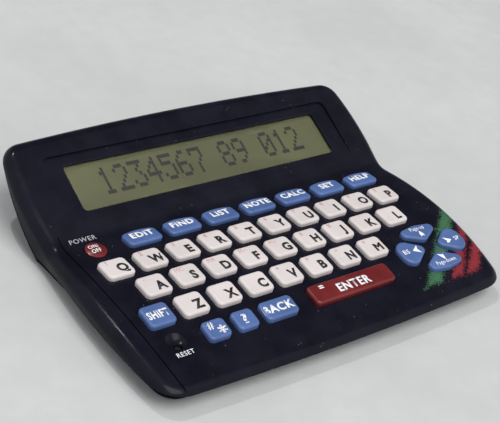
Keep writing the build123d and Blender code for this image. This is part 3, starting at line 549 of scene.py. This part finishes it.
@dataclass(frozen=True)
class Arrow:
    """Solid arrowhead printed on a cursor key."""

    side: Side
    across: float
    up: float
    size: float = 2.9

    def cut(self, name: str) -> bpy.types.Object:
        """Makes the arrowhead round the origin: a flat square on its point, its base notched."""
        reach = self.size * MM / 2
        bpy.ops.object.select_all(action="DESELECT")
        bpy.ops.mesh.primitive_circle_add(vertices=4, radius=reach, fill_type="NGON")
        piece = bpy.context.object
        piece.name = name
        self.shift(piece, lambda spot: spot.y < -0.9 * reach, 0.7 * reach)
        self.shift(piece, lambda spot: abs(spot.x) > 0.9 * reach, -0.75 * reach)
        piece.rotation_euler = (0.0, 0.0, math.radians(self.side.value))
        settle(piece)
        return piece

    @staticmethod
    def shift(piece: bpy.types.Object, wanted: Callable[[Vector], bool], move: float) -> None:
        """Moves the wanted corners along Y."""
        bpy.ops.object.mode_set(mode="EDIT")
        bpy.ops.mesh.select_mode(type="VERT")
        bpy.ops.mesh.select_all(action="DESELECT")
        bpy.ops.object.mode_set(mode="OBJECT")
        for corner in piece.data.vertices:
            corner.select = wanted(corner.co)
        bpy.ops.object.mode_set(mode="EDIT")
        bpy.ops.transform.translate(value=(0.0, move, 0.0))
        bpy.ops.object.mode_set(mode="OBJECT")


def press(mark: Word | Arrow, name: str, node: str, body: str, ink: bpy.types.Material) -> bpy.types.Object:
    """Prints a mark on what carries it: laid on the surface from above, then given its thickness.

    Args:
        mark: what is printed.
        name: name of the piece.
        node: the solid that carries it.
        body: the body it rides on.
        ink: its finish.

    Returns:
        The printed piece.
    """
    low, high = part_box(node)
    middle = (low + high) / 2 if node != "top_housing" else Vector((0.0, 0.0, 0.0))
    piece = mark.cut(name)
    piece.location = (middle.x + mark.across * MM, middle.y + mark.up * MM, high.z + 5 * MM)
    settle(piece)
    finish_modifier(
        piece, "SHRINKWRAP", target=frame["nodes"][node], wrap_method="PROJECT",
        wrap_mode="ABOVE_SURFACE", use_project_z=True, use_negative_direction=True,
        use_positive_direction=False, offset=PRINT_LIFT * MM)
    finish_modifier(piece, "SOLIDIFY", thickness=PRINT_THICKNESS * MM, offset=1.0)
    coat(piece, ink)
    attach(piece, body)
    return piece


# ---------------------------------------------------------------- sub-assemblies
@dataclass
class Inks:
    """The four print colours."""

    white: bpy.types.Material = field(
        default_factory=Ink("white_ink", (0.90, 0.90, 0.92), (0.3, 0.35, 0.5), 0.12).make)
    black: bpy.types.Material = field(
        default_factory=Ink("black_ink", (0.010, 0.010, 0.011), (0.2, 0.18, 0.17), 0.08).make)
    faded_red: bpy.types.Material = field(
        default_factory=Ink("faded_red_ink", (0.66, 0.30, 0.30), (0.70, 0.55, 0.54), 0.8).make)
    label: bpy.types.Material = field(
        default_factory=Ink("label_ink", (0.42, 0.42, 0.44), (0.05, 0.05, 0.07), 0.35).make)


@dataclass
class Casing:
    """Upper and lower housing, battery cover, feet and screws."""

    navy: Colour = (0.0064, 0.0062, 0.0130)
    base_black: Colour = (0.0032, 0.0032, 0.0052)
    green: Colour = (0.062, 0.165, 0.082)
    red: Colour = (0.27, 0.033, 0.042)

    def finish(self) -> None:
        """Dresses the housings and what is fixed to them."""
        green = Stripe(self.green, (59.6, -13.6, 29.6, -38.6), (60.2, -18.2, 36.4, -38.6))
        first = Stripe(self.red, (59.6, -21.5, 41.1, -37.8), (58.4, -26.3, 46.1, -37.9))
        second = Stripe(self.red, (59.1, -27.4, 48.2, -37.4), (58.8, -32.2, 53.0, -37.8))
        top = StripedCasing("navy_plastic", self.navy, roughness=0.22, texture=0.22, depth=0.003,
                            mottle=0.16, dust=0.075, specular=0.13, stripes=(green, first, second))
        dress("top_housing", top.make())
        base = MouldedPlastic("textured_base", self.base_black, roughness=0.55, texture=0.35,
                              depth=0.03, mottle=0.15, dust=0.05, specular=0.05).make()
        for node in ("bottom_housing", "battery_cover"):
            dress(node, base)
        dress("rubber_feet", MouldedPlastic("foot_rubber", (0.02, 0.02, 0.021), roughness=0.8,
                                            texture=0.3, depth=0.02, mottle=0.2, dust=0.09).make())
        steel = PolishedMetal("screw_steel", (0.38, 0.37, 0.36), 0.35).make()
        for node in ("case_screws", "board_screws"):
            dress(node, steel)

    def label(self, inks: Inks) -> None:
        """Prints the two small labels on the deck."""
        power = Word("POWER", -49.4, 12.1, 1.3, 1.15, 0.012, 1.1)
        reset = Word("RESET", -48.2, -32.7, 1.25, 1.0, 0.0, 1.1)
        press(power, "label_power", "top_housing", "casing", inks.label)
        press(reset, "label_reset", "top_housing", "casing", inks.white)


@dataclass
class Keyboard:
    """Every key cap with its print."""

    white: Colour = (0.67, 0.61, 0.595)
    blue: Colour = (0.076, 0.137, 0.330)
    red: Colour = (0.145, 0.011, 0.0125)
    capital: float = 2.75
    sign: float = 1.35
    capital_place: tuple[float, float] = (1.3, -0.85)
    sign_place: tuple[float, float] = (-1.95, 2.0)
    sign_shift: float = 0.45       # to the right for each further letter of a sign
    cursor_middle: tuple[float, float] = (42.9, -25.9)
    signs: dict[str, str] = field(default_factory=lambda: dict(
        q="1", w="2", e="3", r="4", t="5", y="6", u="7", i="8", o="9", p="0",
        a="·", s="MC", d="MR", f="M−", g="M+", h="±", j="%",
        v="÷", b="×", n="−", m="+"))
    modes: tuple[str, ...] = ("EDIT", "FIND", "LIST", "NOTE", "CALC", "SET", "HELP")

    def finish(self) -> None:
        """Dresses the caps."""
        white = MouldedPlastic("white_cap", self.white, 0.42, 0.3, 0.006, 0.045).make()
        blue = MouldedPlastic("blue_cap", self.blue, 0.36, 0.3, 0.006, 0.12, 0.05).make()
        red = MouldedPlastic("red_cap", self.red, 0.32, 0.3, 0.005, 0.14, 0.04).make()
        for node in frame["nodes"]:
            if node.startswith("key_") and node != "key_membrane":
                letter = len(node) == len("key_q")
                other = red if node in ("key_enter", "key_on_off") else blue
                dress(node, white if letter else other)

    def letters(self, inks: Inks) -> None:
        """Prints the black capitals and the small second signs."""
        for letter in "qwertyuiopasdfghjklzxcvbnm":
            node = "key_" + letter
            across, up = self.capital_place
            mark = Word(letter.upper(), across, up, self.capital, 0.95, 0.046)
            if letter == "m":
                mark = replace(mark, weight=0.0, smear=0.17)
            press(mark, f"capital_{letter}", node, node, inks.black)
            if letter in self.signs:
                across, up = self.sign_place
                sign = self.signs[letter]
                shift = self.sign_shift * (len(sign) - 1)
                weight = 0.0 if "M" in sign else 0.025
                mark = Word(sign, across + shift, up, self.sign, 0.95, weight)
                press(mark, f"sign_{letter}", node, node, inks.faded_red)

    def words(self, inks: Inks) -> None:
        """Prints the white words on the blue and red keys."""
        white = inks.white
        for number, word in enumerate(self.modes, 1):
            node = f"key_mode_{number}"
            press(Word(word, 0.15, 0.45, 2.1, 1.02, 0.04, 1.1), f"word_mode_{number}", node, node, white)
        marks = (("key_shift", "word", Word("SHIFT", -0.1, -0.1, 2.2, 0.70, 0.036, 1.1)),
                 ("key_back", "word", Word("BACK", -0.3, -0.1, 2.3, 1.05, 0.034, 1.1)),
                 ("key_enter", "word", Word("ENTER", 0.3, -0.35, 2.5, 1.0, 0.03, 1.1)),
                 ("key_enter", "sign", Word("=", -10.1, 1.5, 1.9, 1.1, 0.03)),
                 ("key_hash", "hash", Word("#", -1.4, 0.9, 2.1, 1.0, 0.0, 1.0, 0.07)),
                 ("key_hash", "star", Word("*", 1.2, -0.8, 3.9, 1.0, 0.0, 1.0, 0.15)),
                 ("key_query", "word", Word("?", -0.2, -0.2, 2.9, 1.2, 0.0, 1.0, 0.2)),
                 ("key_on_off", "word", Word("ON/\nOFF", -0.3, 0.2, 1.25, 0.8, 0.022, 1.12)))
        for node, kind, mark in marks:
            press(mark, f"{kind}_{node[4:]}", node, node, white)

    def cursor(self, inks: Inks) -> None:
        """Prints the arrows and words on the four cursor keys, placed from the cluster's middle."""
        middle = Vector(self.cursor_middle)
        marks = (("key_up", "arrow", Arrow(Side.UP, 0.4, 4.4)),
                 ("key_right", "arrow", Arrow(Side.RIGHT, 6.8, -0.3)),
                 ("key_left", "arrow", Arrow(Side.LEFT, -6.0, -0.1)),
                 ("key_down", "arrow", Arrow(Side.DOWN, 0.6, -4.6)),
                 ("key_up", "word", Word("Page-up", 0.4, 6.65, 1.3, 0.84, 0.0, 1.1)),
                 ("key_left", "word", Word("BS", -9.8, 0.15, 1.5, 1.0, 0.012, 1.12)),
                 ("key_right", "word", Word("SP", 10.4, -0.3, 1.3, 1.0, 0.02, 1.12)),
                 ("key_down", "word", Word("Page-down", 0.3, -6.65, 1.3, 0.84, 0.0, 1.1)))
        for node, kind, mark in marks:
            low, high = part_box(node)
            own = (low + high) / 2 / MM
            moved = replace(mark, across=mark.across + middle.x - own.x,
                            up=mark.up + middle.y - own.y)
            press(moved, f"{kind}_{node[4:]}", node, node, inks.white)


@dataclass
class Display:
    """Window, glass, its dark characters and what holds them."""

    tilt: float = 20.92            # of the glass, degrees
    dot: tuple[float, float] = (0.86, 1.2)
    gap: float = 0.03              # round each dot
    cell: float = 5.15             # distance between characters
    first: float = -35.4           # left edge of the first character
    up: float = 0.7                # of the row's middle above the window's middle
    float_above: float = 0.12      # of the dots over the glass
    shown: str = "1234567 89 012"
    digits: dict[str, tuple[str, ...]] = field(default_factory=lambda: {
        "0": ("01110", "10001", "10011", "10101", "11001", "10001", "01110"),
        "1": ("00100", "01100", "00100", "00100", "00100", "00100", "01110"),
        "2": ("01110", "10001", "00001", "00010", "00100", "01000", "11111"),
        "3": ("11111", "00010", "00100", "00010", "00001", "10001", "01110"),
        "4": ("00010", "00110", "01010", "10010", "11111", "00010", "00010"),
        "5": ("11111", "10000", "11110", "00001", "00001", "10001", "01110"),
        "6": ("00110", "01000", "10000", "11110", "10001", "10001", "01110"),
        "7": ("11111", "10001", "00001", "00010", "00100", "00100", "00100"),
        "8": ("01110", "10001", "10001", "01110", "10001", "10001", "01110"),
        "9": ("01110", "10001", "10001", "01111", "00001", "00010", "01100")})

    def finish(self) -> None:
        """Dresses the window, the glass, its frame and its ribbon."""
        dress("display_window", ClearWindow("clear_window").make())
        dress("lcd_panel", LiquidCrystal("olive_glass").make())
        # The frame's own black is made darker still, as painted shade for the shadowed band under the
        # window's rear wall.
        dress("lcd_frame", MouldedPlastic("frame_black", (0.003, 0.003, 0.0035), roughness=0.6,
                                          texture=0.4, depth=0.02, specular=0.1).make())
        dress("display_ribbon", HeatSealFilm("ribbon_film").make())

    def digit(self, figure: str) -> bpy.types.Object:
        """Models one figure: a grid, less its unlit dots, each dot drawn in and raised."""
        wide, high = self.dot
        bpy.ops.object.select_all(action="DESELECT")
        bpy.ops.mesh.primitive_grid_add(x_subdivisions=5, y_subdivisions=7, size=MM)
        piece = bpy.context.object
        piece.name = f"figure_{figure}"
        piece.scale = (5 * wide, 7 * high, 1.0)
        settle(piece)
        rows = self.digits[figure]

        def unlit(face: bpy.types.MeshPolygon) -> bool:
            """Whether the grid's face lies where the figure has no dot."""
            row = 6 - int((face.center.y / MM + 3.5 * high) / high)
            column = int((face.center.x / MM + 2.5 * wide) / wide)
            return rows[row][column] == "0"

        edit_faces(piece, unlit)
        bpy.ops.mesh.delete(type="FACE")
        bpy.ops.mesh.select_all(action="SELECT")
        bpy.ops.mesh.inset(thickness=self.gap * MM, use_individual=True)
        bpy.ops.mesh.select_all(action="INVERT")
        bpy.ops.mesh.delete(type="FACE")
        bpy.ops.object.mode_set(mode="OBJECT")
        finish_modifier(piece, "SOLIDIFY", thickness=PRINT_THICKNESS * MM, offset=1.0)
        return piece

    def write(self) -> None:
        """Sets a copy of each figure on the glass."""
        dark = Ink("lit_dots", (0.004, 0.004, 0.003), (0.02, 0.02, 0.014), 0.4).make()
        turn = math.radians(self.tilt)
        slope = Vector((0.0, math.cos(turn), math.sin(turn)))
        out = Vector((0.0, -math.sin(turn), math.cos(turn)))
        low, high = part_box("lcd_panel")
        deep, tall = high.y - low.y, high.z - low.z
        thickness = (tall * slope.y - deep * slope.z) / (slope.y ** 2 - slope.z ** 2)
        middle = (low + high) / 2 + out * (thickness / 2 + self.float_above * MM)
        models = {figure: self.digit(figure) for figure in sorted(set(self.shown) - {" "})}
        for number, figure in enumerate(self.shown):
            if figure == " ":
                continue
            piece = models[figure].copy()
            piece.data = models[figure].data.copy()
            piece.name = f"display_figure_{number}"
            bpy.context.scene.collection.objects.link(piece)
            across = (self.first + number * self.cell + 2.5 * self.dot[0]) * MM
            piece.location = middle + Vector((across, 0.0, 0.0)) + slope * self.up * MM
            piece.rotation_euler = (turn, 0.0, 0.0)
            settle(piece)
            coat(piece, dark)
            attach(piece, "casing")
        for model in models.values():
            bpy.data.objects.remove(model)


@dataclass
class Inside:
    """Board, rubber mat, battery and contacts."""

    def finish(self) -> None:
        """Dresses what the housings hide."""
        dress("main_board", CircuitBoard("green_board").make())
        dress("key_membrane", MouldedPlastic("grey_silicone", (0.28, 0.28, 0.29), roughness=0.7,
                                             texture=0.5, depth=0.01, mottle=0.08).make())
        dress("chip_blob", MouldedPlastic("black_resin", (0.01, 0.01, 0.01), 0.2, 0.8, 0.02).make())
        dress("reset_switch", MouldedPlastic("switch_body", (0.03, 0.03, 0.03), 0.4).make())
        dress("reset_button", MouldedPlastic("button_black", (0.012, 0.012, 0.014), 0.35).make())
        dress("battery_cells", PolishedMetal("cell_steel", (0.62, 0.61, 0.58), 0.25).make())
        dress("battery_contacts", PolishedMetal("contact_nickel", (0.55, 0.53, 0.48), 0.3).make())


# ---------------------------------------------------------------- studio
@dataclass
class Lamp:
    """One soft square lamp that points at the object."""

    name: str
    place: tuple[float, float, float]
    size: float
    power: float
    colour: Colour = (1.0, 1.0, 1.0)

    def hang(self) -> None:
        """Adds the lamp and turns it to the object."""
        light = bpy.data.lights.new(self.name, "AREA")
        light.shape = "SQUARE"
        light.size = self.size
        light.energy = self.power
        light.color = self.colour
        piece = bpy.data.objects.new(self.name, light)
        bpy.context.scene.collection.objects.link(piece)
        piece.location = self.place
        toward = -Vector(self.place)
        piece.rotation_euler = toward.to_track_quat("-Z", "Y").to_euler()


@dataclass
class Studio:
    """Pale table, soft lamps and the camera."""

    table: Colour = (0.575, 0.58, 0.575)
    sky: float = 0.70
    sky_colour: Colour = (0.95, 0.97, 1.0)
    dark_way: tuple[float, float, float] = (0.52, 0.62, 0.58)    # toward the unlit part of the room
    dark_rim: float = 0.60         # cosine of the angle from there at which the room starts to dim
    dark_core: float = 0.95        # the same where it is darkest
    dark_share: float = 0.1        # of the sky's strength that is left there
    lamps: tuple[Lamp, ...] = (
        Lamp("main_light", (-0.02, -0.58, 1.20), 0.9, 10.4, (1.0, 0.995, 0.98)),
        Lamp("rim_light", (-0.125, 0.5275, 1.126), 0.04, 3.0, (1.0, 1.0, 1.0)))
    camera_place: tuple[float, float, float] = (-0.217920, -0.191005, 0.213749)
    camera_turn: tuple[float, float, float] = (53.9474, -14.3364, -37.861)
    camera_lens: float = 93.518

    def table_top(self) -> None:
        """Lays a large cloth-covered table under the object."""
        bpy.ops.object.select_all(action="DESELECT")
        bpy.ops.mesh.primitive_grid_add(x_subdivisions=8, y_subdivisions=8, size=4.0)
        floor = bpy.context.object
        floor.name = "table_top"
        mixture = Mixture("pale_cloth")
        cloud = mixture.grain(60.0, 4.0)
        blotch = mixture.between(mixture.grain(7.0, 4.0), 0.3, 0.7, 0.0, 1.0)
        shade = tuple(part * 0.9 for part in self.table)
        base = mixture.tint(mixture.between(cloud, 0.35, 0.65, 0.0, 0.7), self.table, shade)
        stain = tuple(part * 0.82 for part in self.table)
        colour = mixture.tint(mixture.sum("MULTIPLY", blotch, 0.22), base, stain)
        weave = mixture.grain(0.6, 2.0, Vector((1.0, 0.25, 1.0)))
        mixture.set(Base_Color=colour, Roughness=0.9, Specular_IOR_Level=0.1)
        mixture.set(Normal=mixture.relief(weave, 0.05, mixture.relief(mixture.grain(9.0, 2.0), 0.3)))
        coat(floor, mixture.material)

    def light(self) -> None:
        """Lights the scene from a pale sky and the lamps."""
        world = bpy.data.worlds.new("pale_room")
        world.use_nodes = True
        tree = world.node_tree
        back = tree.nodes["Background"]
        back.inputs["Color"].default_value = (*self.sky_colour, 1.0)
        toward = tree.nodes.new("ShaderNodeVectorMath")
        toward.operation = "DOT_PRODUCT"
        toward.inputs[1].default_value = Vector(self.dark_way).normalized()
        tree.links.new(tree.nodes.new("ShaderNodeTexCoord").outputs["Generated"], toward.inputs[0])
        fade = tree.nodes.new("ShaderNodeMapRange")
        fade.interpolation_type = "SMOOTHSTEP"
        ends = (self.dark_rim, self.dark_core, self.sky, self.sky * self.dark_share)
        for socket, number in zip(list(fade.inputs)[1:5], ends):
            socket.default_value = number
        tree.links.new(toward.outputs["Value"], fade.inputs[0])
        tree.links.new(fade.outputs[0], back.inputs["Strength"])
        bpy.context.scene.world = world
        for lamp in self.lamps:
            lamp.hang()

    def camera(self) -> None:
        """Sets the camera at the viewing angle."""
        data = bpy.data.cameras.new("viewer")
        data.sensor_width = 36.0
        data.lens = self.camera_lens
        piece = bpy.data.objects.new("viewer", data)
        bpy.context.scene.collection.objects.link(piece)
        piece.location = self.camera_place
        piece.rotation_euler = tuple(math.radians(angle) for angle in self.camera_turn)
        bpy.context.scene.camera = piece
        bpy.context.scene.view_settings.view_transform = "Standard"


def main() -> None:
    """Builds and dresses every sub-assembly, then logs how many faces each new piece has."""
    logging.basicConfig(level=logging.INFO, format="%(message)s")
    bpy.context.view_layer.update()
    studio = Studio()
    studio.camera()
    studio.table_top()
    studio.light()
    inks = Inks()
    casing = Casing()
    casing.finish()
    casing.label(inks)
    keyboard = Keyboard()
    keyboard.finish()
    keyboard.letters(inks)
    keyboard.words(inks)
    keyboard.cursor(inks)
    display = Display()
    display.finish()
    display.write()
    Inside().finish()
    for piece in sorted(bpy.data.objects, key=lambda o: o.name):
        if piece.type == "MESH" and "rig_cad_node" not in piece:
            log.info("piece %s: %d faces", piece.name, len(piece.data.polygons))


if __name__ == "__main__":
    main()
